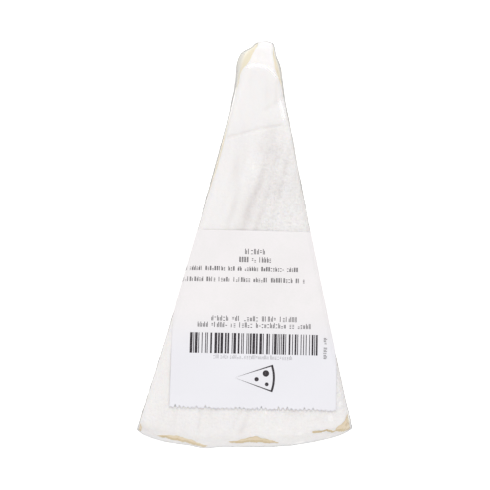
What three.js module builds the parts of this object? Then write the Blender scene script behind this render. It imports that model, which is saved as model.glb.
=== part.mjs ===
// A wedge of soft white-rinded cheese, cut from a large wheel and drawn tight in clear film, with a paper
// scale label stuck over its top and folded down both cut faces.
// Millimetres, +Z up. The wedge lies on its lower rind, and +Y runs along its middle line to the blunt tip.
// Shapes are worked out round the centre of the wheel, then set down so that the origin is under the middle.
import * as THREE from "three";

const { clamp, degToRad, lerp, smoothstep } = THREE.MathUtils;
const QUARTER_TURN = Math.PI / 2;

// The wheel, and how the wedge was cut from it
const WHEEL_RADIUS = 166;
const WHEEL_HEIGHT = 33;
const CUT_HALF_ANGLE = degToRad(14);
const TIP_RADIUS = 16.5; // the tip's two corners stop this far short of the wheel's centre

// Rounded edges: along the cuts, over the rim and over the tip. The lower edges take a share of each.
const CUT_EDGE = 2.2;
const RIM_EDGE = { reach: 4.5, drop: 9 };
const TIP_EDGE = { reach: 3, drop: 5 };
const LOWER_EDGE_SHARE = 0.5;

// The tip narrows to a blunt, crowned end
const TIP_END_SHARE = 0.78;
const TIP_NARROW_RUN = 5;
const TIP_CROWN = 1; // the middle of the end stands this far beyond its corners
const TIP_LEAN = 0.8; // the end leans this far to the right
const TIP_DROOP = 2.4;
const TIP_DROOP_RUN = 10;

// How each cut face left the knife: hollowed along its length, with paste that slumped out near the tip
const LEFT_CUT = { hollow: 0.7, slump: 3, slumpStart: 16.2, slumpReach: 8, slumpSharpness: 3 };
const RIGHT_CUT = { hollow: 0.5, slump: 1, slumpStart: 17, slumpReach: 10, slumpSharpness: 6 };
const HOLLOW_START = 45;
const SLUMP_FULLNESS = 0.6; // below 1, the slumped paste fills out close under the rind
const LEAN_POWER = 3; // how quickly a cut face's shift dies away towards the middle line
const RIM_SKEW = 1.9; // the rim stands out this much more on the left, and less on the right
const CORNER_PULL = 1.8; // the film draws the rim in this much at its two corners
const CORNER_POWER = 12; // how quickly that pull dies away from the corners
const RIM_POWER = 8; // how quickly the rim's own shifts die away towards the tip

// Soft bulges of the rim, by distance round it
const RIM_BULGES = [
  { height: 0.6, at: -27.6, width: 13 },
  { height: 0.9, at: -15.1, width: 4.5 },
  { height: 0.4, at: 17.4, width: 12 },
];

// Long, soft furrows in the upper rind
const FURROWS = [
  { height: 0.45, length: 41, heading: degToRad(28), phase: 0.6 },
  { height: 0.3, length: 26, heading: degToRad(-47), phase: 2.1 },
];

// Places on the rim's upper edge where the rind has torn and bare paste shows, by distance round the rim
const TEAR_DEPTH = 1.1;
const TEAR_OUTER_INSET = 0.5;
const TEARS = [
  { from: -32.1, to: -16.1, inset: 2.4 },
  { from: -5.3, to: 11.8, inset: 4.2 },
  { from: 32.9, to: 46.4, inset: 6.5 },
];

// The label: a sheet of paper, turned a little on the wedge
const LABEL = { width: 62, length: 66.4, thickness: 0.4, gap: 0.3 };
const LABEL_PLACE = { across: 1.6, fromCentre: 118.9, turn: degToRad(1.1) };

// Mesh density: how many strips each face has, and how many of them go round its edges
const WEDGE_STRIPS = { across: 36, along: 40, up: 8 };
const EDGE_STRIPS = { cut: 4, rim: 5, tip: 3 };
const LABEL_STRIPS = { across: 36, along: 16 };

// Splits a run from -1 to 1 into a straight middle and, in its last share, a quarter turn.
function quarterEnds(run, share) {
  const past = Math.max(0, (Math.abs(run) - (1 - share)) / share);
  return {
    middle: clamp(run / (1 - share), -1, 1),
    turn: past * QUARTER_TURN,
    sign: Math.sign(run),
  };
}

// The distance from the wheel's centre, and the drop of the edge there, for a run from tip (-1) to rim (1).
function alongWedge(run) {
  const edge = run > 0 ? RIM_EDGE : TIP_EDGE;
  const strips = run > 0 ? EDGE_STRIPS.rim : EDGE_STRIPS.tip;
  const { middle, turn, sign } = quarterEnds(run, (2 * strips) / WEDGE_STRIPS.along);
  const start = TIP_RADIUS + TIP_EDGE.reach;
  const stop = WHEEL_RADIUS - RIM_EDGE.reach;
  return {
    radius: lerp(start, stop, (middle + 1) / 2) + sign * edge.reach * Math.sin(turn),
    drop: edge.drop * (1 - Math.cos(turn)),
    rimTurn: run > 0 ? turn : 0,
  };
}

// Half of the wedge's width at a distance from the wheel's centre, measured round the wheel.
function halfArc(radius) {
  const left = clamp(1 - (radius - TIP_RADIUS) / TIP_NARROW_RUN, 0, 1);
  const narrowing = Math.sqrt(1 - left * left * (1 - TIP_END_SHARE * TIP_END_SHARE));
  return radius * CUT_HALF_ANGLE * narrowing;
}

// How deep the rind's torn edge lies, at a distance round the rim and a distance in from it.
function tearDepth(arc, inset) {
  const torn = TEARS.some(({ from, to, inset: deepest }) => {
    const along = (arc - from) / (to - from);
    return along > 0 && along < 1 && inset > TEAR_OUTER_INSET && inset < deepest * Math.sin(Math.PI * along);
  });
  return torn ? TEAR_DEPTH : 0;
}

// A point of the evenly cut wedge, from a unit box: left to right, tip to rim, base to top.
function evenWedge(across, along, up) {
  const { radius, drop, rimTurn } = alongWedge(along);
  const half = halfArc(radius);
  const edge = Math.min(CUT_EDGE, half / 2);
  const { middle, turn, sign } = quarterEnds(across, (2 * EDGE_STRIPS.cut) / WEDGE_STRIPS.across);
  const arc = (half - edge) * middle + sign * edge * Math.sin(turn);
  const edgeDrop = drop + edge * (1 - Math.cos(turn));
  const z = lerp(LOWER_EDGE_SHARE * edgeDrop, WHEEL_HEIGHT - edgeDrop, up);
  const depth = up === 1 ? tearDepth(arc, WHEEL_RADIUS - radius) : 0;
  return { radius: radius - depth * Math.sin(rimTurn), arc, z: z - depth * Math.cos(rimTurn) };
}

// How far a cut face stands out from the knife's line, at a distance from the wheel's centre and a height.
function cutShift(cut, radius, level) {
  const hollow = Math.sin(Math.PI * clamp((radius - HOLLOW_START) / (WHEEL_RADIUS - HOLLOW_START), 0, 1));
  const reach = Math.max(0, (radius - cut.slumpStart) / cut.slumpReach);
  const slump = Math.pow(reach * Math.exp(1 - reach), cut.slumpSharpness);
  const fullness = Math.pow(Math.sin(Math.PI * level), SLUMP_FULLNESS);
  return cut.slump * slump * fullness - cut.hollow * hollow;
}

// How far the rim bulges outwards at a distance round it.
function rimBulge(arc) {
  const heights = RIM_BULGES.map(({ height, at, width }) => height * Math.exp(-(((arc - at) / width) ** 2)));
  return heights.reduce((sum, height) => sum + height, 0);
}

// The height that the upper rind rises or sinks at a place on the wedge.
function topRelief(x, y, radius) {
  const droop = TIP_DROOP * (1 - smoothstep(radius, TIP_RADIUS, TIP_RADIUS + TIP_DROOP_RUN));
  const furrows = FURROWS.map(({ height, length, heading, phase }) => {
    const run = x * Math.cos(heading) + y * Math.sin(heading);
    return height * Math.sin((2 * Math.PI * run) / length + phase);
  });
  return furrows.reduce((sum, height) => sum + height, -droop);
}

// Moves a point of the evenly cut wedge, or of the label on it, to where the soft cheese really lies.
// The rim's own shifts count by a share, because the label is a flat sheet and takes no part in them.
function settle({ radius, arc, z }, rimShare) {
  const level = clamp(z / WHEEL_HEIGHT, 0, 1);
  const side = clamp(arc / halfArc(radius), -1, 1);
  const cut = side < 0 ? LEFT_CUT : RIGHT_CUT;
  const nearTip = 1 - smoothstep(radius, TIP_RADIUS, TIP_RADIUS + TIP_NARROW_RUN);
  const settledArc = arc + nearTip * TIP_LEAN + Math.pow(side, LEAN_POWER) * cutShift(cut, radius, level);
  const nearRim = Math.pow(clamp(radius / WHEEL_RADIUS, 0, 1), RIM_POWER);
  const rimShift = rimBulge(arc) - RIM_SKEW * side - CORNER_PULL * Math.pow(side, CORNER_POWER);
  const crown = nearTip * TIP_CROWN * (1 - side * side);
  const settledRadius = radius - crown + rimShare * nearRim * rimShift;
  const angle = settledArc / radius;
  const x = settledRadius * Math.sin(angle);
  const y = -settledRadius * Math.cos(angle);
  return new THREE.Vector3(x, y, z + level * topRelief(x, y, radius));
}

// A point of the label, from its own flat sheet: across, along and above the wedge.
// Past a cut's edge the sheet turns down round the edge and lies against the cut face.
function evenLabel(across, along, above) {
  const { turn } = LABEL_PLACE;
  const place = new THREE.Vector2(across, along).rotateAround(new THREE.Vector2(), turn);
  place.add(new THREE.Vector2(LABEL_PLACE.across, -LABEL_PLACE.fromCentre));
  const outward = new THREE.Vector2(Math.sign(place.x) * Math.cos(CUT_HALF_ANGLE), Math.sin(CUT_HALF_ANGLE));
  const past = Math.max(0, place.dot(outward) + CUT_EDGE);
  const bendRadius = CUT_EDGE + LABEL.gap + LABEL.thickness / 2;
  const bend = Math.min(past / bendRadius, QUARTER_TURN);
  const down = past - bend * bendRadius;
  place.addScaledVector(outward, (CUT_EDGE + above) * Math.sin(bend) - past);
  const radius = place.length();
  return {
    radius,
    arc: radius * Math.atan2(place.x, -place.y),
    z: WHEEL_HEIGHT - CUT_EDGE + (CUT_EDGE + above) * Math.cos(bend) - down,
  };
}

// Moves each corner of a box geometry to where a function of its own place puts it.
function reshape(box, pointAt) {
  const position = box.getAttribute("position");
  const corner = new THREE.Vector3();
  for (let i = 0; i < position.count; i += 1) {
    corner.fromBufferAttribute(position, i);
    position.setXYZ(i, ...pointAt(corner));
  }
  box.computeVertexNormals();
  return box;
}

function wedgeMesh() {
  const { across, along, up } = WEDGE_STRIPS;
  const box = new THREE.BoxGeometry(2, 2, 1, across, along, up);
  const geometry = reshape(box, ({ x, y, z }) => settle(evenWedge(x, -y, z + 0.5), 1));
  const material = new THREE.MeshStandardMaterial({ color: 0xf0ece9, roughness: 0.6, metalness: 0 });
  const mesh = new THREE.Mesh(geometry, material);
  mesh.name = "wrapped_wedge";
  return mesh;
}

function labelMesh() {
  const { width, length, thickness, gap } = LABEL;
  const box = new THREE.BoxGeometry(width, length, thickness, LABEL_STRIPS.across, LABEL_STRIPS.along, 1);
  const lift = gap + thickness / 2;
  const geometry = reshape(box, ({ x, y, z }) => settle(evenLabel(x, y, z + lift), 0));
  const material = new THREE.MeshStandardMaterial({ color: 0xf1f0f2, roughness: 0.75, metalness: 0 });
  const mesh = new THREE.Mesh(geometry, material);
  mesh.name = "label";
  return mesh;
}

const brieWedge = new THREE.Group();
brieWedge.add(wedgeMesh(), labelMesh());

// Sets the wedge down on its base, with the origin under the middle of its box.
const box = new THREE.Box3().setFromObject(brieWedge);
const middle = box.getCenter(new THREE.Vector3());
brieWedge.position.set(-middle.x, -middle.y, -box.min.z);

export default brieWedge;
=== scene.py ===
"""A wedge of white-rinded cheese in clear film with a paper label, as an add-on for the 3D view's sidebar.

Lengths are in metres. Shapes are worked out round the centre of the wheel that the wedge was cut from, with
x to the right, y towards the tip and z up, and are then set into the part's frame.
"""

import math
from collections import namedtuple
from itertools import product

import bpy
import numpy as np
from bpy.props import FloatProperty, FloatVectorProperty, PointerProperty
from mathutils import Color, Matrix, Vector


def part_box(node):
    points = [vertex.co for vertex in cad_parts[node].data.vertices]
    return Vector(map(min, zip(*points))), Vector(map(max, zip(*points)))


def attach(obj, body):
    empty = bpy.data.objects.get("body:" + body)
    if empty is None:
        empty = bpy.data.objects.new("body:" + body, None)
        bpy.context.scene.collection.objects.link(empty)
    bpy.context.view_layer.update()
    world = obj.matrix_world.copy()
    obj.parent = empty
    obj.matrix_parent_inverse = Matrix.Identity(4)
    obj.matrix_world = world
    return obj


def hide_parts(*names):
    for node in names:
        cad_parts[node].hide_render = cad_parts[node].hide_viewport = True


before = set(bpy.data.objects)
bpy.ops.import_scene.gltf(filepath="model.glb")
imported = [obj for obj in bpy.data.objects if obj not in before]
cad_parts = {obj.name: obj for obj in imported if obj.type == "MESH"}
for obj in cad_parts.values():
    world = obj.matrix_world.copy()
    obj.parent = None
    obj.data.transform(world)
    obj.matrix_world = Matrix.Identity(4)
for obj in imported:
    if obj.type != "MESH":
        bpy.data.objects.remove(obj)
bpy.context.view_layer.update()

bl_info = {
    "name": "Wrapped Cheese Wedge",
    "version": (1, 0, 0),
    "blender": (4, 5, 0),
    "location": "View3D > Sidebar > Cheese",
    "description": "Makes a film-wrapped wedge of white-rinded cheese with a paper scale label",
    "category": "Add Mesh",
}

MM = 0.001
QUARTER_TURN = math.pi / 2
BODY = "root"
WEDGE_NODE = "wrapped_wedge"
LABEL_NODE = "label"

# How each cut face left the knife: hollowed along its length, with paste that slumped out near the tip
LEFT_CUT = {"hollow": 0.7 * MM, "slump": 3 * MM, "start": 16.2 * MM, "reach": 8 * MM, "sharpness": 3}
RIGHT_CUT = {"hollow": 0.5 * MM, "slump": 1 * MM, "start": 17 * MM, "reach": 10 * MM, "sharpness": 6}
HOLLOW_START = 45 * MM
SLUMP_FULLNESS = 0.6
LEAN_POWER = 3

# How the rim was drawn out of round, and its soft bulges by distance round it
RIM_SKEW = 1.9 * MM
CORNER_PULL = 1.8 * MM
CORNER_POWER = 12
RIM_POWER = 8
Bulge = namedtuple("Bulge", "height at width")
RIM_BULGES = (
    Bulge(0.6 * MM, -27.6 * MM, 13 * MM),
    Bulge(0.9 * MM, -15.1 * MM, 4.5 * MM),
    Bulge(0.4 * MM, 17.4 * MM, 12 * MM),
)

# Long, soft furrows in the upper rind
Furrow = namedtuple("Furrow", "height length heading phase")
FURROWS = (
    Furrow(0.45 * MM, 41 * MM, math.radians(28), 0.6),
    Furrow(0.3 * MM, 26 * MM, math.radians(-47), 2.1),
)

# Torn places on the rim's upper edge, in millimetres round the rim and in from it
TORN_PATCHES = (
    ((-41, 3), (-39.5, 2.4), (-38.8, 1), (-39.4, 0), (-41, -0.5)),
    ((-32.6, 1.2), (-28.6, 2.3), (-24.9, 2.5), (-21.5, 2.1), (-18.6, 1.9), (-16, 1.1), (-13.7, 0.2),
     (-16.6, 0), (-21.5, 0.6), (-28.5, 1)),
    ((-6.4, 1.75), (0.9, 3.25), (3.9, 4.2), (6.3, 3.15), (10.2, 2.3), (12.6, 1), (9, 1.2), (4, 1.6),
     (-4.8, 1.3)),
    ((24.4, 4), (28.8, 3.6), (30.4, 3.8), (33.5, 2.2), (32.9, 1.7), (30.4, 2.9), (26.4, 3.3)),
    ((33.5, 2), (34.7, 3.55), (36.9, 4.3), (38.1, 5.9), (42, 7.5), (42, -0.5), (39.9, -0.2), (36.4, 1)),
)
# Where the rind is thin along a cut: the left or right side, how far from the wheel's centre and along the
# cut, how far in from the cut, and the share that is lost, where more than all bares the paste too
ThinPlace = namedtuple("ThinPlace", "side at width reach loss")
THIN_PLACES = (
    ThinPlace(-1, 20.5 * MM, 6.5 * MM, 4.2 * MM, 1.5),
    ThinPlace(-1, 61 * MM, 18 * MM, 9 * MM, 0.74),
    ThinPlace(1, 25 * MM, 7 * MM, 2.6 * MM, 1.3),
)
RIND_UNEVEN = 0.2
TORN_RAGGED = 0.4 * MM
TORN_SLOPE = 0.25 * MM

# Creases that the film pressed into the upper rind, with their paths on the wheel, in millimetres
Crease = namedtuple("Crease", "depth width path")
CREASES = (
    Crease(0.22, 0.45, ((-11.1, -51.6), (1.3, -47.7), (9, -46))),
    Crease(0.14, 0.9, ((2.2, -41), (8.7, -36.3))),
    Crease(0.16, 2.2, ((5.4, -49), (2, -67), (-0.3, -72), (-5.1, -86))),
    Crease(0.1, 1.3, ((2.4, -63), (-0.3, -72), (-3.4, -81))),
    Crease(0.14, 1.2, ((7.6, -56), (5, -70), (0.5, -86))),
    Crease(0.12, 1.1, ((11.5, -60), (9, -72), (5.5, -86))),
    Crease(0.06, 1.4, ((-6.5, -70), (-8.5, -79), (-12, -86))),
    Crease(0.13, 1, ((-2.4, -153.1), (-7, -163))),
    Crease(0.13, 0.9, ((1.3, -152.1), (-1.8, -160.4))),
    Crease(0.2, 0.5, ((-17.4, -153), (-17.3, -160.8))),
)
# Ridges where the film stands up in a fold, likewise
FILM_RIDGES = (
    Crease(0.35, 0.45, ((-4.8, -25.4), (-1.7, -24.4), (2, -25.1), (4.3, -26.6), (6.2, -28.8))),
    Crease(0.3, 0.8, ((7.6, -37.4), (9.4, -43.6))),
    Crease(0.15, 0.45, ((11, -45.8), (15.3, -64.9))),
    Crease(0.12, 0.4, ((-11.1, -52.2), (1.3, -48.3), (12.3, -45.6))),
)

# Noise that shapes the surfaces: the size of its cells in millimetres, and its seed
Grain = namedtuple("Grain", "size seed")
TORN_GRAIN = Grain(1.4, 21)
RIND_GRAIN = Grain(4, 31)
DIMPLE_GRAIN = Grain(7, 41)
PIT_GRAIN = Grain(1.5, 42)
FIBRE_GRAIN = Grain((1.2, 7, 1.2), 43)
STREAK_GRAIN = Grain((2.2, 16, 2.2), 45)
SWELL_GRAIN = Grain(9, 51)
STROKE_GRAIN = Grain((1.3, 1.3, 9), 52)
EYE_GRAIN = Grain(2.4, 53)
WRINKLE_GRAIN = Grain((5, 5, 26), 61)
PLEAT_GRAIN = Grain(1, 62)
TOOTH_GRAIN = Grain(1.9, 71)

# Relief of rind and paste: ranges by place, slope or noise over which a form comes in
ROUGH_ALONG = (35 * MM, 65 * MM)
ROUGH_ACROSS = (-8 * MM, 6 * MM)
UPPER_SIDE = (14 * MM, 18 * MM)
FACING_DOWN = (0.5, 0.95)
EYE_NOISE = (0.5, 0.8)
STREAK_SLANT = 0.3
SWELL_SHARE = 0.5
STROKE_SHARE = 0.2

# Folds of the film: how they lean with height and thin out, and where the film bridges a hollow
FACING_SIDE = (0.5, 0.9)
FACING_UP = (0.3, 0.9)
PAST_LABEL = (1 * MM, 8 * MM)
LOW_ON_SIDE = (4 * MM, 10 * MM)
RIM_LEAN = 0.3
CUT_LEAN = 0.6
RIM_WRINKLES = 0.4
WRINKLE_SHARPNESS = 8
BRIDGE_AT = 37 * MM
BRIDGE_WIDTH = 6 * MM
PLEAT_CIRCLE = 8 * MM

# The label's lower end: unevenness of its teeth, and how far up the sheet teeth and curl reach
TOOTH_UNEVEN = 0.6
TOOTH_RUN = 1.5 * MM
CURL_RUN = 6 * MM

# Colours of the cheese: ranges in millimetres of rind, tear and hollow, or of noise, and what frays them
RIND_FRAY = 0.4
RIND_FRAY_GRAIN = 1 * MM
RIND_SHOWS = (0.12, 0.28)
TEAR_FRAY = 0.3
TEAR_FRAY_GRAIN = 0.8 * MM
TEAR_SHOWS = (0.05, 0.2)
# Painted shade: within this range, in millimetres inside a torn place, its paste darkens towards the edge,
# where the rind's step would shade it
TORN_EDGE_SHADE_FADES = (0.2, 0.7)
PASTE_PALES = (0.2, -5)
CLOUD_GRAIN = 6 * MM
CLOUD_SHOWS = (0.5, 0.8)
CLOUD_SHARE = 0.5
# Painted shade: over this range of depth in the rind's relief, in millimetres, the bloom darkens, standing
# in for the shade in its pits, streaks and creases
HOLLOW_PAINTED_SHADE = (-0.1, 0.65)
SPECKLE_SHOWS = (0.35, 0.75)
SPECKLE_SHARE = 0.25
# Nap of the bloom: its strength, where that changes in the part's frame, and its noise
NAP_AT_TIP = 0.12
NAP_AT_SIDES = (0.3, 1)
NAP_AT_RIM = 0.5
NAP_FROM_TIP = (55 * MM, 30 * MM)
NAP_ACROSS = (-6 * MM, 8 * MM)
NAP_TO_RIM = (-50 * MM, -66 * MM)
NAP_GRAIN = 0.9 * MM
FINE_DETAIL = 3
NAP_DEPTH = 0.6 * MM
STRAND_GRAIN = 1.3 * MM
STRAND_STRETCH = (1, 6, 1)
STRAND_SHARE = 0.5
ROUGHNESS_TO_RIND = (0.4, 0.75)

# Film, paper and ink: the height in millimetres at which folds turn milky, and the others' noise
FOLD_SHOWS = (0.04, 0.35)
PAPER_GRAIN = 0.6 * MM
PAPER_CLOUD_GRAIN = 5 * MM
PAPER_SHADES = (0.7, 1.3)
# Painted shade on the paper: where along the part's y it turns darker and bluer towards its torn edge
PAPER_SHADE_TO_END = (-22 * MM, -42 * MM)
INK_GRAIN = 0.5 * MM
INK_FADES = (0.5, 0.75)

# Cells of each lattice: across, along and up, with the share of a run that turns round an edge
CHEESE_CELLS = (116, 266, 44)
FILM_CELLS = (116, 262, 30)
LABEL_CELLS = (208, 128, 1)
MARK_CELLS = (1, 6, 1)
ARC_CELLS = (28, 14, 1)
CUT_SHARE = 0.13
RIM_SHARE = 0.16
TIP_SHARE = 0.08
NOISE_CELLS = 32

# The label's print, in millimetres from its middle
Row = namedtuple("Row", "left right foot height stroke words")
TEXT_ROWS = (
    Row(-4.1, 3.6, 24.4, 2, 0.24, (7,)),
    Row(-6.2, 5.9, 21.4, 2, 0.24, (4, 2, 5)),
    Row(-28.5, 16, 18.2, 1.6, 0.24, (3, 6, 9, 3, 2, 6, 10, 5)),
    Row(-29.5, 18.7, 14.1, 1.7, 0.24, (11, 4, 5, 7, 6, 9, 4)),
    Row(-16.1, 16, -0.4, 1.9, 0.24, (6, 3, 5, 5, 6)),
    Row(-21.2, 21.3, -2.8, 1.9, 0.24, (4, 6, 2, 5, 11, 2, 5)),
    Row(-15, 14.9, -14.4, 1.5, 0.1, (34,)),
)
SIDE_ROW = Row(-13.7, -5.6, 26, 1.3, 0.19, (5, 3))
BARS = Row(-24.3, 24, -12.5, 7.6, 0.32, ())
BAR_WIDTHS = (1, 1, 2, 3)
MARK_WIDTH = 0.62
TICK_CHANCE = 0.6
SECOND_TICK_CHANCE = 0.7
TICK_HEIGHTS = (0.7, 1, 1)
DASH_LEVELS = (0, 0.31, 0.62)
DASH_CHANCE = 0.8
PRINT_SEED = 11
# The emblem, a slice of cheese: rings and parts of rings by middle, radii and angles
Ring = namedtuple("Ring", "x y inner outer first last")
EMBLEM = (
    Ring(-7, -21.4, 14.2, 15, math.radians(-20), math.radians(20)),
    Ring(-7, -21.4, 0.2, 15, math.radians(18), math.radians(20)),
    Ring(-7, -21.4, 0.2, 15, math.radians(-20), math.radians(-18)),
    Ring(4.6, -19.6, 0.02, 1.2, 0, 2 * math.pi),
    Ring(1.2, -21.8, 0.02, 0.8, 0, 2 * math.pi),
    Ring(5, -23.6, 0.02, 0.7, 0, 2 * math.pi),
)

# The stage: how far the floor lies under the part, and the lamps, in watts and metres, one of them broad
# and overhead, one beyond the tip and one before the rim
FLOOR_DROP = 0.1 * MM
Lamp = namedtuple("Lamp", "name power size place")
LAMPS = (
    Lamp("top_lamp", 4, 1.6, (0, 0, 1.3)),
    Lamp("key_lamp", 7.5, 1.2, (-0.05, 0.95, 0.8)),
    Lamp("fill_lamp", 3.5, 1.2, (0, -1, 0.6)),
)


def srgb(red, green, blue):
    """A colour as it looks on screen, from 0 to 255, as the linear values that Blender keeps."""
    return tuple(Color((red / 255, green / 255, blue / 255)).from_srgb_to_scene_linear())


def length(name, millimetres, description):
    """A property for a length, given in millimetres."""
    default = millimetres * MM
    return FloatProperty(name=name, description=description, default=default, precision=5, unit="LENGTH")


def angle(name, degrees, description):
    """A property for an angle, given in degrees."""
    return FloatProperty(name=name, description=description, default=math.radians(degrees), subtype="ANGLE")


def share(name, default, description):
    """A property for a share from 0 to 1."""
    return FloatProperty(name=name, description=description, default=default, min=0, max=1, subtype="FACTOR")


def amount(name, default, description):
    """A property for a strength or another plain number."""
    return FloatProperty(name=name, description=description, default=default, min=0)


def colour(name, default, description):
    """A property for a colour, given as it looks on screen."""
    return FloatVectorProperty(
        name=name, description=description, default=srgb(*default), min=0, max=1, subtype="COLOR"
    )


class WedgeSizes(bpy.types.PropertyGroup):
    """The wheel, and the wedge that was cut from it."""

    wheel_radius: length("Wheel radius", 166, "From the wheel's centre to its rim")
    wheel_height: length("Wheel height", 33, "Thickness of the wheel")
    cut_half_angle: angle("Half angle", 14, "From the wedge's middle line to a cut face")
    tip_radius: length("Tip radius", 16.5, "From the wheel's centre to the blunt tip's corners")
    cut_edge: length("Cut edge", 2.2, "Rounding along the two cuts")
    rim_reach: length("Rim reach", 4.5, "How far in from the rim its rounding starts")
    rim_drop: length("Rim drop", 9, "How far down the rim's rounding goes")
    tip_reach: length("Tip reach", 3, "How far in from the tip its rounding starts")
    tip_drop: length("Tip drop", 5, "How far down the tip's rounding goes")
    lower_edge: share("Lower edge", 0.5, "The lower edges' rounding as a share of the upper")
    tip_end: share("Tip end", 0.78, "Width of the tip's end as a share of the full wedge there")
    tip_narrow_run: length("Tip narrowing", 5, "Length over which the tip narrows")
    tip_crown: length("Tip crown", 1, "How far the middle of the tip's end stands beyond its corners")
    tip_lean: length("Tip lean", 0.8, "How far the tip leans to the right")
    tip_droop: length("Tip droop", 2.4, "How far the tip has sunk")
    tip_droop_run: length("Droop length", 10, "Length over which the tip sinks")


class RindLook(bpy.types.PropertyGroup):
    """The rind, and the paste under it."""

    inset: length("Inset", 0.15, "How far the cheese stays inside the film's shape")
    base_lift: length("Base lift", 0.45, "Room under the cheese for the gathered film")
    thickness: length("Rind thickness", 2.3, "Thickness of the rind where it was cut")
    torn_depth: length("Torn depth", 0.5, "How deep the torn places lie")
    dimple: length("Dimples", 0.12, "Height of the soft dimples in the rind")
    streak: length("Streaks", 0.08, "Height of the long streaks across the rind")
    pit: length("Pits", 0.08, "Height of the fine pits in the right of the rind")
    fibre: length("Fibres", 0.07, "Height of the fine fibres in the left of the rind")
    bulge: length("Paste bulge", 0.2, "Height of the uneven swell of the cut faces")
    eye: length("Eyes", 0.7, "Depth of the small eyes in the paste")
    rind_colour: colour("Rind", (253, 250, 249), "Colour of the white bloom")
    # The bloom's darker colour: painted shade in the rind's hollows, and the random speckle of its nap
    bloom_speckle_and_painted_shade: colour("Rind shade", (222, 216, 214), "Colour of the rind where the bloom is thin")
    # Painted shade along the edges of the torn places, where the rind's step would shade the paste
    torn_edge_painted_shade: colour("Torn edge", (222, 201, 160), "Colour of the paste just under a torn edge")
    torn_colour: colour("Torn paste", (240, 224, 196), "Colour of the paste inside a torn place")
    cream_colour: colour("Cream line", (241, 231, 207), "Colour of the ripe paste near the rind")
    paste_colour: colour("Paste", (248, 242, 226), "Colour of the paste in the middle")


class FilmLook(bpy.types.PropertyGroup):
    """The clear film."""

    wrinkle: length("Wrinkles", 0.3, "Height of the tension wrinkles on the cut faces")
    pleat: length("Pleats", 0.3, "Height of the gathered pleats under the base")
    bridge: length("Bridge", 0.5, "How far the film stands off the left cut behind the tip")
    index: amount("Index", 1.45, "Index of refraction, which sets how much the film mirrors")
    roughness: share("Roughness", 0.12, "Roughness of the film's gloss")
    mirror: share("Mirror", 0.45, "Brightness of what the film mirrors")
    haze: share("Haze", 0.6, "How milky the film is along its folds")
    tint: colour("Tint", (253, 253, 253), "Colour of what is seen through the film")


class LabelLook(bpy.types.PropertyGroup):
    """The paper label and its print."""

    width: length("Width", 62, "Width of the label when flat")
    length: length("Length", 66.4, "Length of the label when flat")
    paper: length("Paper", 0.12, "Thickness of the paper")
    gap: length("Gap", 0.08, "Height of the paper's underside over the wedge")
    across: length("Across", 1.6, "How far the label's middle is to the right")
    from_centre: length("From centre", 118.9, "From the wheel's centre to the label's middle")
    turn: angle("Turn", 1.1, "How far the label is turned")
    tooth_step: length("Tooth step", 1.6, "Distance between teeth along the torn edge")
    tooth_depth: length("Tooth depth", 1, "Depth of the teeth")
    curl: length("Curl", 0.2, "How far the torn edge lifts off the film")
    ink: length("Ink", 0.012, "Thickness of the printed marks")
    paper_colour: colour("Paper colour", (244, 240, 241), "Colour of the paper")
    paper_shade: colour("Paper shade", (241, 238, 238), "Colour of the paper's thinner fibres")
    # Painted shade: a darker, bluer paper towards the torn edge, standing in for how the light falls there
    paper_low_painted_shade: colour("Paper low", (239, 238, 243), "Colour of the paper towards its torn edge")
    ink_colour: colour("Ink colour", (42, 36, 42), "Colour of the print")
    ink_faded: colour("Faded ink", (92, 84, 92), "Colour of the print where it is weak")


class StageLook(bpy.types.PropertyGroup):
    """The floor, the light and the view."""

    floor_size: length("Floor", 6000, "Width of the floor")
    floor_colour: colour("Floor colour", (245, 245, 245), "Colour of the floor")
    floor_glow: amount("Floor glow", 0.35, "Light of the floor's own, as on a lightbox")
    sky: amount("Sky", 0.5, "Strength of the even light from all round")
    lamps: amount("Lamps", 1, "Strength of all lamps, as a multiple of their own powers")
    view_distance: length("View distance", 4000, "From the camera to the wedge's top")
    view_width: length("View width", 181.3, "Width of the view at the wedge's top")
    view_x: length("View x", -3.14, "Middle of the view from the wheel's centre, to the right")
    view_y: length("View y", -91.23, "Middle of the view from the wheel's centre, to the tip")
    view_turn: angle("View turn", 2.4, "How far the view is turned")


class CheeseSettings(bpy.types.PropertyGroup):
    """All sizes and colours of the wrapped wedge."""

    wedge: PointerProperty(type=WedgeSizes, name="Wedge", description="Sizes of the wedge")
    rind: PointerProperty(type=RindLook, name="Rind", description="Relief and colours of the cheese")
    film: PointerProperty(type=FilmLook, name="Film", description="Folds and finish of the film")
    label: PointerProperty(type=LabelLook, name="Label", description="Sizes and colours of the label")
    stage: PointerProperty(type=StageLook, name="Stage", description="Floor, light and view")


def smoothstep(value, low, high):
    """Rises from 0 at low to 1 at high as 3t² - 2t³."""
    t = np.clip((value - low) / (high - low), 0, 1)
    return t * t * (3 - 2 * t)


def soft_noise(points, grain):
    """Smooth random heights from -1 to 1: random values on a lattice with cells of the grain's size,
    blended from the eight corners of each point's cell with smoothstep weights."""
    cell = points / (np.array(grain.size) * MM)
    low = np.floor(cell).astype(int)
    blend = smoothstep(cell - low, 0, 1)
    values = np.random.default_rng(grain.seed).uniform(-1, 1, (NOISE_CELLS,) * 3)
    total = np.zeros(len(points))
    for corner in product((0, 1), repeat=3):
        weight = np.prod(np.where(corner, blend, 1 - blend), axis=1)
        total += weight * values[tuple(((low + corner) % NOISE_CELLS).T)]
    return total


def path_distance(places, path):
    """Distance from each place on a plane to a path of straight runs: the least distance to any run."""
    nearest = np.full(len(places), np.inf)
    for start, end in zip(np.array(path[:-1]), np.array(path[1:])):
        run = end - start
        t = np.clip((places - start) @ run / (run @ run), 0, 1)
        gap = places - start - t[:, None] * run
        nearest = np.minimum(nearest, np.linalg.norm(gap, axis=1))
    return nearest


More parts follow.
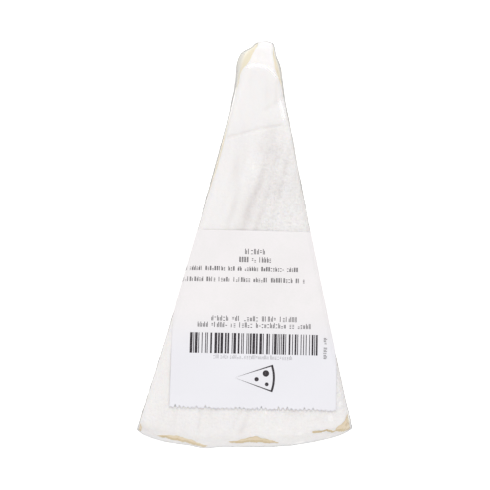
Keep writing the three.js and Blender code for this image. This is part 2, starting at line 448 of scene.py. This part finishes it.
def inside_distance(places, outline):
    """How far each place lies inside a closed outline: the distance to its nearest edge, negative outside.
    A place is inside where a ray to the left crosses an odd number of edges."""
    closed = (*outline, outline[0])
    inside = np.zeros(len(places), bool)
    for (x0, y0), (x1, y1) in zip(closed[:-1], closed[1:]):
        if y0 == y1:
            continue
        spans = (y0 > places[:, 1]) != (y1 > places[:, 1])
        inside ^= spans & (places[:, 0] > x0 + (places[:, 1] - y0) / (y1 - y0) * (x1 - x0))
    return np.where(inside, 1, -1) * path_distance(places, closed)


def lattice_box(cells):
    """The skin of a box lattice: each corner's place from -1 to 1 on three axes, and its quads, facing
    out. The corners are numbered on the whole lattice, each of the six sides is cut into quads, and
    corners that no quad uses are dropped."""
    number = np.arange(np.prod(np.add(cells, 1))).reshape(np.add(cells, 1))
    sides = []
    for axis, end in product(range(3), (0, -1)):
        side = np.take(number, end, axis=axis)
        corners = (side[:-1, :-1], side[1:, :-1], side[1:, 1:], side[:-1, 1:])
        quads = np.stack(corners, axis=-1).reshape(-1, 4)
        faces_out = (axis != 1) == (end == -1)
        sides.append(quads if faces_out else quads[:, ::-1])
    used, quads = np.unique(np.concatenate(sides), return_inverse=True)
    place = np.stack(np.unravel_index(used, number.shape), axis=1) / cells * 2 - 1
    return place, quads.reshape(-1, 4)


def corner_normals(points, quads):
    """Each corner's normal: the summed cross products of the diagonals of its quads, made one long."""
    a, b, c, d = (points[quads[:, corner]] for corner in range(4))
    face = np.cross(c - a, d - b)
    total = np.zeros_like(points)
    for corner in range(4):
        np.add.at(total, quads[:, corner], face)
    return total / np.linalg.norm(total, axis=1, keepdims=True)


def quarter_ends(run, end_share):
    """Splits a run from -1 to 1 into a straight middle and quarter turns in the last share at its ends."""
    past = np.maximum(0, (np.abs(run) - (1 - end_share)) / end_share)
    return np.clip(run / (1 - end_share), -1, 1), np.sign(run) * past * QUARTER_TURN


def half_arc(wedge, radius):
    """Half of the wedge's width, measured round the wheel: the cut's angle times the radius, which narrows
    over the tip's last stretch as the side of an ellipse does."""
    left = np.clip(1 - (radius - wedge.tip_radius) / wedge.tip_narrow_run, 0, 1)
    return radius * wedge.cut_half_angle * np.sqrt(1 - left**2 * (1 - wedge.tip_end**2))


Even = namedtuple("Even", "radius arc z depth")


def even_wedge(wedge, place):
    """The evenly cut wedge from a box lattice: radius from the wheel's centre, arc round it and height,
    with a quarter ellipse over the tip and the rim and a quarter circle along the cuts. Depth is how far
    each point lies inside the wheel's own skin: its top, its base or its rim."""
    across, along, up = place[:, 0], -place[:, 1], (place[:, 2] + 1) / 2
    at_rim = along > 0
    run, turn = quarter_ends(along, np.where(at_rim, RIM_SHARE, TIP_SHARE))
    start = wedge.tip_radius + wedge.tip_reach
    stop = wedge.wheel_radius - wedge.rim_reach
    reach = np.where(at_rim, wedge.rim_reach, wedge.tip_reach)
    radius = start + (stop - start) * (run + 1) / 2 + reach * np.sin(turn)
    end_drop = np.where(at_rim, wedge.rim_drop, wedge.tip_drop) * (1 - np.cos(turn))
    half = half_arc(wedge, radius)
    edge = np.minimum(wedge.cut_edge, half / 2)
    run, turn = quarter_ends(across, CUT_SHARE)
    arc = (half - edge) * run + edge * np.sin(turn)
    edge_drop = edge * (1 - np.cos(turn))
    low = wedge.lower_edge * (end_drop + edge_drop)
    high = wedge.wheel_height - end_drop - edge_drop
    z = low + (high - low) * up
    under_top = wedge.wheel_height - end_drop - z
    over_base = z - wedge.lower_edge * end_drop
    depth = np.minimum(np.minimum(under_top, over_base), wedge.wheel_radius - radius)
    return Even(radius, arc, z, depth)


def cut_shift(wedge, side, radius, level):
    """How far a cut face stands out from the knife's line: a slump that rises and dies as t·exp(1 - t)
    behind the tip and swells between base and top, less a hollow of half a sine wave along the face."""
    cut = {key: np.where(side < 0, LEFT_CUT[key], RIGHT_CUT[key]) for key in LEFT_CUT}
    hollow = np.clip((radius - HOLLOW_START) / (wedge.wheel_radius - HOLLOW_START), 0, 1)
    reach = np.maximum(0, (radius - cut["start"]) / cut["reach"])
    slump = (reach * np.exp(1 - reach)) ** cut["sharpness"]
    fullness = np.sin(np.pi * level) ** SLUMP_FULLNESS
    return cut["slump"] * slump * fullness - cut["hollow"] * np.sin(np.pi * hollow)


def rim_shift(arc, side):
    """How far the rim stands out: its bulges, bell curves round the rim, less its skew and its drawn-in
    corners."""
    bulges = sum(bulge.height * np.exp(-(((arc - bulge.at) / bulge.width) ** 2)) for bulge in RIM_BULGES)
    return bulges - RIM_SKEW * side - CORNER_PULL * side**CORNER_POWER


def settle(wedge, radius, arc, z, rim_share=1):
    """Moves points of the evenly cut wedge to where the soft cheese lies: cut faces and rim shifted, tip
    crowned, leaning and sunk, and the top raised by sine waves, all in proportion to height where the base
    stays flat. The rim's own shifts count by a share, because the label is a flat sheet and takes no part
    in them."""
    level = np.clip(z / wedge.wheel_height, 0, 1)
    side = np.clip(arc / half_arc(wedge, radius), -1, 1)
    near_tip = 1 - smoothstep(radius, wedge.tip_radius, wedge.tip_radius + wedge.tip_narrow_run)
    settled_arc = arc + near_tip * wedge.tip_lean + side**LEAN_POWER * cut_shift(wedge, side, radius, level)
    near_rim = np.clip(radius / wedge.wheel_radius, 0, 1) ** RIM_POWER
    crown = near_tip * wedge.tip_crown * (1 - side**2)
    settled_radius = radius - crown + rim_share * near_rim * rim_shift(arc, side)
    x = settled_radius * np.sin(settled_arc / radius)
    y = -settled_radius * np.cos(settled_arc / radius)
    droop_end = wedge.tip_radius + wedge.tip_droop_run
    rise = wedge.tip_droop * (smoothstep(radius, wedge.tip_radius, droop_end) - 1)
    for furrow in FURROWS:
        run = x * math.cos(furrow.heading) + y * math.sin(furrow.heading)
        rise = rise + furrow.height * np.sin(2 * np.pi * run / furrow.length + furrow.phase)
    return np.column_stack((x, y, z + level * rise))


def wheel_centre(wedge):
    """Where the wheel's centre lies in the part's frame: the settled wedge's box, set on the box of its
    node."""
    place, _ = lattice_box(FILM_CELLS)
    even = even_wedge(wedge, place)
    points = settle(wedge, even.radius, even.arc, even.z)
    low, high = (np.array(corner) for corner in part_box(WEDGE_NODE))
    shift = (low + high - points.min(axis=0) - points.max(axis=0)) / 2
    return np.array((shift[0], shift[1], low[2]))


def crease_depth(points, creases):
    """The depth of creases at each point: the sum of bell curves across their paths, in plan."""
    plan = points[:, :2]
    total = np.zeros(len(points))
    for crease in creases:
        away = path_distance(plan, np.array(crease.path) * MM) / (crease.width * MM)
        total += crease.depth * MM * np.exp(-(away**2))
    return total


def torn_distance(wedge, even, points):
    """How far each point lies inside a torn place of the rim's upper edge, with a ragged outline, less how
    far it lies below the rim's rounding."""
    places = np.column_stack((even.arc, wedge.wheel_radius - even.radius))
    patches = [inside_distance(places, np.array(patch) * MM) for patch in TORN_PATCHES]
    ragged = TORN_RAGGED * soft_noise(points, TORN_GRAIN)
    below = np.maximum(0, wedge.wheel_height - wedge.rim_drop - even.z)
    return np.max(patches, axis=0) + ragged - below


def rind_left(wedge, rind, even, points):
    """How much rind there is outside each point: its uneven thickness, less a bell curve at each thin
    place along the cuts and less the point's depth. It is below zero where paste shows."""
    thickness = rind.thickness * (1 + RIND_UNEVEN * soft_noise(points, RIND_GRAIN))
    from_cut = half_arc(wedge, even.radius) - np.abs(even.arc)
    for thin in THIN_PLACES:
        near = np.exp(-(((even.radius - thin.at) / thin.width) ** 2)) * (np.sign(even.arc) == thin.side)
        thickness = thickness * (1 - thin.loss * near * (1 - smoothstep(from_cut, 0, thin.reach)))
    return thickness - even.depth


def rind_relief(rind, points):
    """Height of the rind's relief: soft dimples, fine pits that fade to the left and to the tip, fibres
    along the wedge where the pits fade, long slanted streaks that fade to the tip, and creases in the
    upper side."""
    x, y, z = points.T
    from_tip = smoothstep(-y, *ROUGH_ALONG)
    rough = from_tip * smoothstep(x, *ROUGH_ACROSS)
    dimples = rind.dimple * soft_noise(points, DIMPLE_GRAIN)
    pits = rind.pit * rough * soft_noise(points, PIT_GRAIN)
    slanted = np.column_stack((x - STREAK_SLANT * y, y, z))
    streaks = rind.streak * from_tip * soft_noise(slanted, STREAK_GRAIN)
    fibres = rind.fibre * (1 - rough) * soft_noise(points, FIBRE_GRAIN)
    upper = smoothstep(z, *UPPER_SIDE)
    return dimples + pits + streaks + fibres - upper * crease_depth(points, CREASES)


def paste_relief(rind, points):
    """Height of the cut faces' relief: a soft swell, faint strokes down the face and small round eyes."""
    swell = SWELL_SHARE * rind.bulge * (soft_noise(points, SWELL_GRAIN) - 1)
    strokes = STROKE_SHARE * rind.bulge * soft_noise(points, STROKE_GRAIN)
    eyes = rind.eye * smoothstep(soft_noise(points, EYE_GRAIN), *EYE_NOISE)
    return swell + strokes - eyes


def cheese_surface(settings):
    """The cheese: the settled wedge moved along its own normals by its inset and its relief, which is the
    rind's or the paste's, and deeper where the rind is torn. Returns points, quads and three values for
    each point: the rind left, how far it lies inside a torn place, and how deep it lies in the rind's
    relief."""
    wedge, rind = settings.wedge, settings.rind
    place, quads = lattice_box(CHEESE_CELLS)
    even = even_wedge(wedge, place)
    points = settle(wedge, even.radius, even.arc, even.z)
    torn = torn_distance(wedge, even, points)
    left = rind_left(wedge, rind, even, points)
    bloom = rind_relief(rind, points)
    is_rind = smoothstep(np.minimum(left, -torn), -TORN_SLOPE, TORN_SLOPE)
    normals = corner_normals(points, quads)
    relief = is_rind * bloom + (1 - is_rind) * paste_relief(rind, points)
    relief -= rind.inset + rind.torn_depth * smoothstep(torn, -TORN_SLOPE, TORN_SLOPE)
    under = smoothstep(-normals[:, 2], *FACING_DOWN)
    relief -= under * rind.base_lift
    return points + normals * relief[:, None], quads, {"rind_left": left, "torn": torn, "hollow": -bloom}


def film_surface(settings):
    """The film: the settled wedge moved along its own normals by ridged noise, which is drawn out down the
    cut faces and flat under the label, by folds, and by pleats that fan out from the middle of the base.
    Returns points, quads and the height of the folds at each point."""
    wedge, film, label = settings.wedge, settings.film, settings.label
    place, quads = lattice_box(FILM_CELLS)
    even = even_wedge(wedge, place)
    points = settle(wedge, even.radius, even.arc, even.z)
    normals = corner_normals(points, quads)
    upright = 1 - np.abs(normals[:, 2])
    on_cut = smoothstep(np.abs(normals[:, 0]), *FACING_SIDE)
    lean = np.column_stack((RIM_LEAN * (1 - on_cut), CUT_LEAN * on_cut, 0 * on_cut))
    drawn = points + lean * points[:, 2:]
    ridges = (1 - np.abs(soft_noise(drawn, WRINKLE_GRAIN))) ** WRINKLE_SHARPNESS
    from_label = np.abs(even.radius - label.from_centre) - label.length / 2
    bare = np.maximum(smoothstep(from_label, *PAST_LABEL), 1 - smoothstep(even.z, *LOW_ON_SIDE))
    bridge = np.exp(-(((even.radius - BRIDGE_AT) / BRIDGE_WIDTH) ** 2)) * (even.arc < 0)
    folds = film.wrinkle * ridges * upright * bare * (RIM_WRINKLES + (1 - RIM_WRINKLES) * on_cut)
    folds += crease_depth(points, FILM_RIDGES) * smoothstep(normals[:, 2], *FACING_UP)
    under = smoothstep(-normals[:, 2], *FACING_DOWN)
    fan = np.arctan2(points[:, 0], points[:, 1] + label.from_centre)
    spread = np.column_stack((PLEAT_CIRCLE * np.cos(fan), PLEAT_CIRCLE * np.sin(fan), points[:, 2]))
    pleats = under * film.pleat * np.abs(soft_noise(spread, PLEAT_GRAIN))
    outward = (1 - under) * (folds + film.bridge * bridge * upright) - pleats
    return points + normals * outward[:, None], quads, {"fold": (1 - under) * folds + pleats}


def label_points(settings, across, along, above):
    """Points of the label from its own flat sheet. Each is turned and set down on the wedge's top, and
    past a cut's edge the sheet turns down round the edge on a quarter circle and then lies against the cut
    face."""
    wedge, label = settings.wedge, settings.label
    x = across * math.cos(label.turn) - along * math.sin(label.turn) + label.across
    y = across * math.sin(label.turn) + along * math.cos(label.turn) - label.from_centre
    out_x = np.sign(x) * math.cos(wedge.cut_half_angle)
    out_y = math.sin(wedge.cut_half_angle)
    past = np.maximum(0, x * out_x + y * out_y + wedge.cut_edge)
    bend_radius = wedge.cut_edge + label.gap + label.paper / 2
    bend = np.minimum(past / bend_radius, QUARTER_TURN)
    arm = wedge.cut_edge + above
    shift = arm * np.sin(bend) - past
    x = x + out_x * shift
    y = y + out_y * shift
    z = wedge.wheel_height - wedge.cut_edge + arm * np.cos(bend) - (past - bend * bend_radius)
    radius = np.hypot(x, y)
    return settle(wedge, radius, radius * np.arctan2(x, -y), z, rim_share=0)


def label_height(settings, along):
    """Height of the paper's underside over the wedge: its gap, with a curl that lifts the torn edge."""
    label = settings.label
    near_end = smoothstep(-along, label.length / 2 - CURL_RUN, label.length / 2)
    return label.gap + label.curl * near_end


def label_surface(settings):
    """The label: a thin sheet whose lower edge is a row of uneven teeth, which die away up the sheet."""
    label = settings.label
    place, quads = lattice_box(LABEL_CELLS)
    across = place[:, 0] * label.width / 2
    along = place[:, 1] * label.length / 2
    tooth = np.abs((across / label.tooth_step) % 1 - 0.5) * 2
    uneven = 1 + TOOTH_UNEVEN * soft_noise(np.column_stack((across, 0 * across, 0 * across)), TOOTH_GRAIN)
    near_end = smoothstep(-along, label.length / 2 - TOOTH_RUN, label.length / 2)
    along = along + label.tooth_depth * tooth * uneven * near_end
    above = label_height(settings, along) + label.paper * (place[:, 2] + 1) / 2
    return label_points(settings, across, along, above), quads, {}


def text_marks(row, random):
    """A row that looks like words from afar: each place but those between words has one or two upright
    ticks, or up to three level dashes, chosen at random. Marks are left, right, foot and top."""
    ends = np.cumsum(np.add(row.words, 1)) - 1
    step = (row.right - row.left) / ends[-1]
    place = row.left + step * np.delete(np.arange(ends[-1]), ends[:-1])
    width = MARK_WIDTH * step
    has_ticks = random.random(len(place)) < TICK_CHANCE
    first, dashed = place[has_ticks], place[~has_ticks]
    second = first[random.random(len(first)) < SECOND_TICK_CHANCE] + width - row.stroke
    ticks = np.concatenate((first, second))
    tops = row.foot + row.height * random.choice(TICK_HEIGHTS, len(ticks))
    upright = np.column_stack((ticks, ticks + row.stroke, np.full(len(ticks), row.foot), tops))
    foot = row.foot + row.height * np.tile(DASH_LEVELS, len(dashed))
    left = np.repeat(dashed, len(DASH_LEVELS))
    level = np.column_stack((left, left + width, foot, foot + row.stroke))
    return np.concatenate((upright, level[random.random(len(level)) < DASH_CHANCE]))


def bar_marks(bars, random):
    """Upright bars side by side, each bar and each space one to three strokes wide: left, right, foot and
    top."""
    widths = random.choice(BAR_WIDTHS, 2 * round((bars.right - bars.left) / (2 * bars.stroke)))
    edges = bars.left + bars.stroke * np.cumsum(widths)
    pairs = edges.reshape(-1, 2)
    left, right = pairs[pairs[:, 1] < bars.right].T
    foot = np.full(len(left), bars.foot)
    return np.column_stack((left, right, foot, foot + bars.height))


def print_surface(settings):
    """The print: each mark is a thin slab on the paper, cut along its length so that it follows the paper.
    Straight marks are boxes, and the emblem's are rings of part of a turn, from an angle and a radius."""
    label = settings.label
    random = np.random.default_rng(PRINT_SEED)
    marks = [text_marks(row, random) for row in TEXT_ROWS]
    marks.append(bar_marks(BARS, random))
    marks.append(text_marks(SIDE_ROW, random)[:, (2, 3, 0, 1)])
    flats = []
    slab, quads = lattice_box(MARK_CELLS)
    x, y, z = (slab.T + 1) / 2
    for left, right, foot, top in np.concatenate(marks) * MM:
        flats.append((left + (right - left) * x, foot + (top - foot) * y, z, quads))
    ring, quads = lattice_box(ARC_CELLS)
    x, y, z = (ring.T + 1) / 2
    for part in EMBLEM:
        swing = part.last + (part.first - part.last) * x
        radius = part.inner + (part.outer - part.inner) * y
        across = (part.x + radius * np.cos(swing)) * MM
        along = (part.y + radius * np.sin(swing)) * MM
        flats.append((across, along, z, quads))
    starts = np.cumsum([0] + [len(flat[0]) for flat in flats[:-1]])
    across, along, level = (np.concatenate([flat[index] for flat in flats]) for index in range(3))
    quads = np.concatenate([flat[3] + start for flat, start in zip(flats, starts)])
    above = label_height(settings, along) + label.paper + label.ink * level
    return label_points(settings, across, along, above), quads, {}


def new_piece(settings, name, surface, material, slot, *nodes):
    """Makes a piece from a surface's arrays in the part's frame, and has it ride on the body in place of
    its nodes. The surface's named lengths are kept in millimetres, for the material."""
    points, quads, values = surface
    points = points + wheel_centre(settings.wedge)
    mesh = bpy.data.meshes.new(name)
    mesh.vertices.add(len(points))
    mesh.vertices.foreach_set("co", points.astype(np.float32).ravel())
    mesh.loops.add(quads.size)
    mesh.loops.foreach_set("vertex_index", quads.astype(np.int32).ravel())
    mesh.polygons.add(len(quads))
    mesh.polygons.foreach_set("loop_start", np.arange(0, quads.size, 4, dtype=np.int32))
    mesh.update(calc_edges=True)
    if mesh.validate():
        raise RuntimeError(f"the surface of {name} has faces that can't be kept")
    mesh.shade_smooth()
    mesh.materials.append(material)
    for title, value in values.items():
        stored = mesh.attributes.new(title, "FLOAT", "POINT")
        stored.data.foreach_set("value", (value / MM).astype(np.float32))
    piece = bpy.data.objects.new(name, mesh)
    bpy.context.scene.collection.objects.link(piece)
    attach(piece, BODY)
    if nodes:
        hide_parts(*nodes)
    return piece


def feed(tree, socket, value):
    """Links a socket to another, or sets its value."""
    if isinstance(value, bpy.types.NodeSocket):
        tree.links.new(value, socket)
    else:
        socket.default_value = value


def add_node(tree, kind, settings=None, **sockets):
    """Adds a shader node with its settings, and sets or links its sockets, whose names have _ for a
    space."""
    node = tree.nodes.new(kind)
    for name, value in (settings or {}).items():
        setattr(node, name, value)
    for name, value in sockets.items():
        feed(tree, node.inputs[name.replace("_", " ")], value)
    return node


def new_material(name):
    """A material with an empty tree."""
    material = bpy.data.materials.new(name)
    material.use_nodes = True
    material.node_tree.nodes.clear()
    return material, material.node_tree


def show(tree, shader):
    """Makes a shader the surface of its material."""
    add_node(tree, "ShaderNodeOutputMaterial", Surface=shader.outputs[0])


def attribute(tree, name):
    """A value that the piece stores for each of its corners."""
    return add_node(tree, "ShaderNodeAttribute", {"attribute_name": name}).outputs["Fac"]


def coordinate(tree, axis):
    """The piece's own coordinate on one axis, which is the part's, because no piece is moved."""
    place = add_node(tree, "ShaderNodeTexCoord").outputs["Object"]
    return add_node(tree, "ShaderNodeSeparateXYZ", Vector=place).outputs[axis]


def noise(tree, grain, detail=2, stretch=(1, 1, 1)):
    """Noise from 0 to 1 on the piece's own coordinates, with grains of this size, longer by stretch."""
    coordinates = add_node(tree, "ShaderNodeTexCoord").outputs["Object"]
    scale = tuple(1 / (grain * part) for part in stretch)
    mapping = add_node(tree, "ShaderNodeMapping", Vector=coordinates, Scale=scale)
    return add_node(tree, "ShaderNodeTexNoise", Vector=mapping.outputs[0], Scale=1, Detail=detail).outputs[0]


def ramp(tree, value, low, high, start=0, end=1):
    """Turns a value that runs from low to high into one from start to end, smoothly and no further."""
    kind = {"interpolation_type": "SMOOTHSTEP"}
    sockets = {"From_Min": low, "From_Max": high, "To_Min": start, "To_Max": end}
    return add_node(tree, "ShaderNodeMapRange", kind, Value=value, **sockets).outputs[0]


def mix_colours(tree, factor, first, second):
    """Mixes two colours, each a socket or a colour property, by a factor from 0 to 1."""
    node = add_node(tree, "ShaderNodeMix", {"data_type": "RGBA"})
    factor_socket, first_socket, second_socket = (node.inputs[index] for index in (0, 6, 7))
    tree.links.new(factor, factor_socket)
    for socket, value in ((first_socket, first), (second_socket, second)):
        feed(tree, socket, value if isinstance(value, bpy.types.NodeSocket) else (*value, 1))
    return node.outputs[2]


def mix_shaders(tree, factor, first, second):
    """Mixes two shaders by a factor from 0 to 1."""
    node = add_node(tree, "ShaderNodeMixShader", Fac=factor)
    tree.links.new(first.outputs[0], node.inputs[1])
    tree.links.new(second.outputs[0], node.inputs[2])
    return node


def add_values(tree, first, second, factor=1):
    """The first value plus factor times the second."""
    node = add_node(tree, "ShaderNodeMath", {"operation": "MULTIPLY_ADD"})
    for socket, value in zip(node.inputs, (second, factor, first)):
        feed(tree, socket, value)
    return node.outputs[0]


def cheese_material(rind):
    """White bloom over golden paste: the rind left at each point, made ragged by noise, picks one or the
    other, and the paste pales with its depth. Torn places show darker paste, with painted shade along their
    edges where the rind's step would shade it, and painted shade darkens the bloom in its hollows. Fine
    noise gives the bloom's nap and random speckle, and the paste's moist unevenness."""
    material, tree = new_material("bloomy_rind_and_paste")
    left = add_values(tree, attribute(tree, "rind_left"), noise(tree, RIND_FRAY_GRAIN), RIND_FRAY)
    torn = add_values(tree, attribute(tree, "torn"), noise(tree, TEAR_FRAY_GRAIN), TEAR_FRAY)
    paste = mix_colours(tree, ramp(tree, left, *PASTE_PALES), rind.cream_colour, rind.paste_colour)
    cloud = ramp(tree, noise(tree, CLOUD_GRAIN), *CLOUD_SHOWS, 0, CLOUD_SHARE)
    paste = mix_colours(tree, cloud, paste, rind.cream_colour)
    across, along = coordinate(tree, "X"), coordinate(tree, "Y")
    rough = ramp(tree, across, *NAP_ACROSS, *NAP_AT_SIDES)
    rough = ramp(tree, along, *NAP_FROM_TIP, NAP_AT_TIP, rough)
    rough = ramp(tree, along, *NAP_TO_RIM, rough, NAP_AT_RIM)
    grain = noise(tree, NAP_GRAIN, FINE_DETAIL)
    speckle = ramp(tree, grain, *SPECKLE_SHOWS, 0, rough)
    # Painted shade: the deeper a point lies in the rind's relief, the darker the bloom, plus the nap's
    # random speckle
    shade = add_values(tree, ramp(tree, attribute(tree, "hollow"), *HOLLOW_PAINTED_SHADE), speckle, SPECKLE_SHARE)
    bloom = mix_colours(tree, shade, rind.rind_colour, rind.bloom_speckle_and_painted_shade)
    is_rind = ramp(tree, left, *RIND_SHOWS)
    skin = mix_colours(tree, is_rind, paste, bloom)
    # Painted shade: the torn paste darkens towards the edges of its torn place
    torn_paste = mix_colours(tree, ramp(tree, torn, *TORN_EDGE_SHADE_FADES), rind.torn_edge_painted_shade, rind.torn_colour)
    colour_socket = mix_colours(tree, ramp(tree, torn, *TEAR_SHOWS), skin, torn_paste)
    nap = add_values(tree, grain, noise(tree, STRAND_GRAIN, stretch=STRAND_STRETCH), STRAND_SHARE)
    bump = add_node(tree, "ShaderNodeBump", Strength=rough, Distance=NAP_DEPTH, Height=nap)
    shader = add_node(
        tree,
        "ShaderNodeBsdfPrincipled",
        Base_Color=colour_socket,
        Roughness=ramp(tree, is_rind, 0, 1, *ROUGHNESS_TO_RIND),
        Normal=bump.outputs[0],
        Subsurface_Weight=0.15,
        Subsurface_Radius=(1, 0.8, 0.6),
        Subsurface_Scale=1.5 * MM,
        Specular_IOR_Level=0.35,
    )
    show(tree, shader)
    return material


def film_material(film):
    """Clear film: it mirrors by Fresnel's law, alike on both of its sides, and lets the rest through. Its
    folds are milky."""
    material, tree = new_material("clear_film")
    clear = add_node(tree, "ShaderNodeBsdfTransparent", Color=(*film.tint, 1))
    mirrored = (film.mirror, film.mirror, film.mirror, 1)
    gloss = add_node(tree, "ShaderNodeBsdfAnisotropic", Color=mirrored, Roughness=film.roughness)
    inside = add_node(tree, "ShaderNodeNewGeometry").outputs["Backfacing"]
    mirror = add_node(tree, "ShaderNodeFresnel", IOR=ramp(tree, inside, 0, 1, film.index, 1 / film.index))
    sheet = mix_shaders(tree, mirror.outputs[0], clear, gloss)
    milk = add_node(tree, "ShaderNodeBsdfDiffuse", Color=(*film.tint, 1))
    milky = ramp(tree, attribute(tree, "fold"), *FOLD_SHOWS, 0, film.haze)
    show(tree, mix_shaders(tree, milky, sheet, milk))
    return material


def paper_material(label):
    """Smooth white label paper with a faint cloud of fibres, and painted shade that makes it a little darker
    and bluer towards its torn edge.
    """
    material, tree = new_material("label_paper")
    fibres = add_values(tree, noise(tree, PAPER_GRAIN, FINE_DETAIL), noise(tree, PAPER_CLOUD_GRAIN))
    shade = mix_colours(tree, ramp(tree, fibres, *PAPER_SHADES), label.paper_colour, label.paper_shade)
    # Painted shade: the paper turns darker and bluer towards its torn edge
    shade = mix_colours(tree, ramp(tree, coordinate(tree, "Y"), *PAPER_SHADE_TO_END), shade, label.paper_low_painted_shade)
    bump = add_node(tree, "ShaderNodeBump", Strength=0.3, Distance=0.02 * MM, Height=fibres)
    shader = add_node(
        tree, "ShaderNodeBsdfPrincipled", Base_Color=shade, Roughness=0.6, Normal=bump.outputs[0]
    )
    show(tree, shader)
    return material


def ink_material(label):
    """Dark heat-made print, weaker in small spots."""
    material, tree = new_material("label_ink")
    weak = ramp(tree, noise(tree, INK_GRAIN), *INK_FADES)
    shade = mix_colours(tree, weak, label.ink_colour, label.ink_faded)
    shader = add_node(tree, "ShaderNodeBsdfPrincipled", Base_Color=shade, Roughness=0.6)
    show(tree, shader)
    return material


def floor_material(stage):
    """A pale floor that glows a little, as a lightbox does."""
    material, tree = new_material("floor")
    shader = add_node(
        tree,
        "ShaderNodeBsdfPrincipled",
        Base_Color=(*stage.floor_colour, 1),
        Roughness=0.9,
        Emission_Color=(1, 1, 1, 1),
        Emission_Strength=stage.floor_glow,
    )
    show(tree, shader)
    return material


class CHEESE_OT_cheese(bpy.types.Operator):
    """Make the cheese, with its rind and its cut faces"""

    bl_idname = "cheese.cheese"
    bl_label = "Cheese"

    def execute(self, context):
        settings = context.scene.cheese
        material = cheese_material(settings.rind)
        new_piece(settings, "cheese", cheese_surface(settings), material, "rind", WEDGE_NODE)
        return {"FINISHED"}


class CHEESE_OT_film(bpy.types.Operator):
    """Make the clear film drawn round the cheese"""

    bl_idname = "cheese.film"
    bl_label = "Film"

    def execute(self, context):
        settings = context.scene.cheese
        material = film_material(settings.film)
        piece = new_piece(settings, "film", film_surface(settings), material, "film", WEDGE_NODE)
        piece.visible_shadow = False
        return {"FINISHED"}


class CHEESE_OT_label(bpy.types.Operator):
    """Make the paper label, folded down both cut faces"""

    bl_idname = "cheese.label"
    bl_label = "Label"

    def execute(self, context):
        settings = context.scene.cheese
        material = paper_material(settings.label)
        new_piece(settings, "label_sheet", label_surface(settings), material, "label_paper", LABEL_NODE)
        return {"FINISHED"}


class CHEESE_OT_print(bpy.types.Operator):
    """Make the print on the label"""

    bl_idname = "cheese.print"
    bl_label = "Print"

    def execute(self, context):
        settings = context.scene.cheese
        material = ink_material(settings.label)
        new_piece(settings, "label_print", print_surface(settings), material, "label_ink")
        return {"FINISHED"}


class CHEESE_OT_stage(bpy.types.Operator):
    """Set the floor, the light and the camera"""

    bl_idname = "cheese.stage"
    bl_label = "Stage"

    def execute(self, context):
        scene = context.scene
        stage, wedge = scene.cheese.stage, scene.cheese.wedge
        scene.view_settings.view_transform = "Standard"
        self.lay_floor(scene, stage)
        self.light(scene, stage)
        self.aim_camera(scene, stage, wheel_centre(wedge), wedge.wheel_height)
        return {"FINISHED"}

    def lay_floor(self, scene, stage):
        """A square floor, just under the part."""
        half = stage.floor_size / 2
        mesh = bpy.data.meshes.new("floor")
        corners = [(x * half, y * half, -FLOOR_DROP) for x, y in ((-1, -1), (1, -1), (1, 1), (-1, 1))]
        mesh.from_pydata(corners, [], [(0, 1, 2, 3)])
        mesh.materials.append(floor_material(stage))
        floor = bpy.data.objects.new("floor", mesh)
        scene.collection.objects.link(floor)

    def light(self, scene, stage):
        """Even light from all round, and square lamps that face the origin, unseen by the camera."""
        world = bpy.data.worlds.new("even_light")
        world.use_nodes = True
        background = world.node_tree.nodes["Background"]
        background.inputs["Strength"].default_value = stage.sky
        background.inputs["Color"].default_value = (1, 1, 1, 1)
        scene.world = world
        for lamp in LAMPS:
            light = bpy.data.lights.new(lamp.name, "AREA")
            light.energy = lamp.power * stage.lamps
            light.size = lamp.size
            holder = bpy.data.objects.new(lamp.name, light)
            holder.location = lamp.place
            holder.rotation_euler = Vector(lamp.place).to_track_quat("Z", "Y").to_euler()
            holder.visible_camera = False
            scene.collection.objects.link(holder)

    def aim_camera(self, scene, stage, centre, top):
        """A camera straight above, turned a little, whose view is the photograph's width."""
        camera = bpy.data.cameras.new("camera")
        camera.lens = camera.sensor_width * stage.view_distance / stage.view_width
        holder = bpy.data.objects.new("camera", camera)
        holder.location = (centre[0] + stage.view_x, centre[1] + stage.view_y, top + stage.view_distance)
        holder.rotation_euler = (0, 0, stage.view_turn)
        scene.collection.objects.link(holder)
        scene.camera = holder


class VIEW3D_PT_cheese(bpy.types.Panel):
    """The wrapped wedge's settings and pieces"""

    bl_label = "Wrapped Cheese Wedge"
    bl_space_type = "VIEW_3D"
    bl_region_type = "UI"
    bl_category = "Cheese"

    def draw(self, context):
        settings = context.scene.cheese
        for operator in OPERATORS:
            self.layout.operator(operator.bl_idname)
        for group in (settings.wedge, settings.rind, settings.film, settings.label, settings.stage):
            column = self.layout.box().column()
            for name in group.__annotations__:
                column.prop(group, name)


GROUPS = (WedgeSizes, RindLook, FilmLook, LabelLook, StageLook, CheeseSettings)
OPERATORS = (CHEESE_OT_cheese, CHEESE_OT_film, CHEESE_OT_label, CHEESE_OT_print, CHEESE_OT_stage)
CLASSES = (*GROUPS, *OPERATORS, VIEW3D_PT_cheese)


def register():
    """Registers the classes and puts the settings on the scene."""
    for registered in CLASSES:
        bpy.utils.register_class(registered)
    bpy.types.Scene.cheese = PointerProperty(type=CheeseSettings)


def unregister():
    """Takes the settings off the scene and the classes out again."""
    del bpy.types.Scene.cheese
    for registered in reversed(CLASSES):
        bpy.utils.unregister_class(registered)


def main():
    """Makes every piece and the stage."""
    register()
    bpy.ops.cheese.cheese()
    bpy.ops.cheese.film()
    bpy.ops.cheese.label()
    bpy.ops.cheese.print()
    bpy.ops.cheese.stage()


if __name__ == "__main__":
    main()
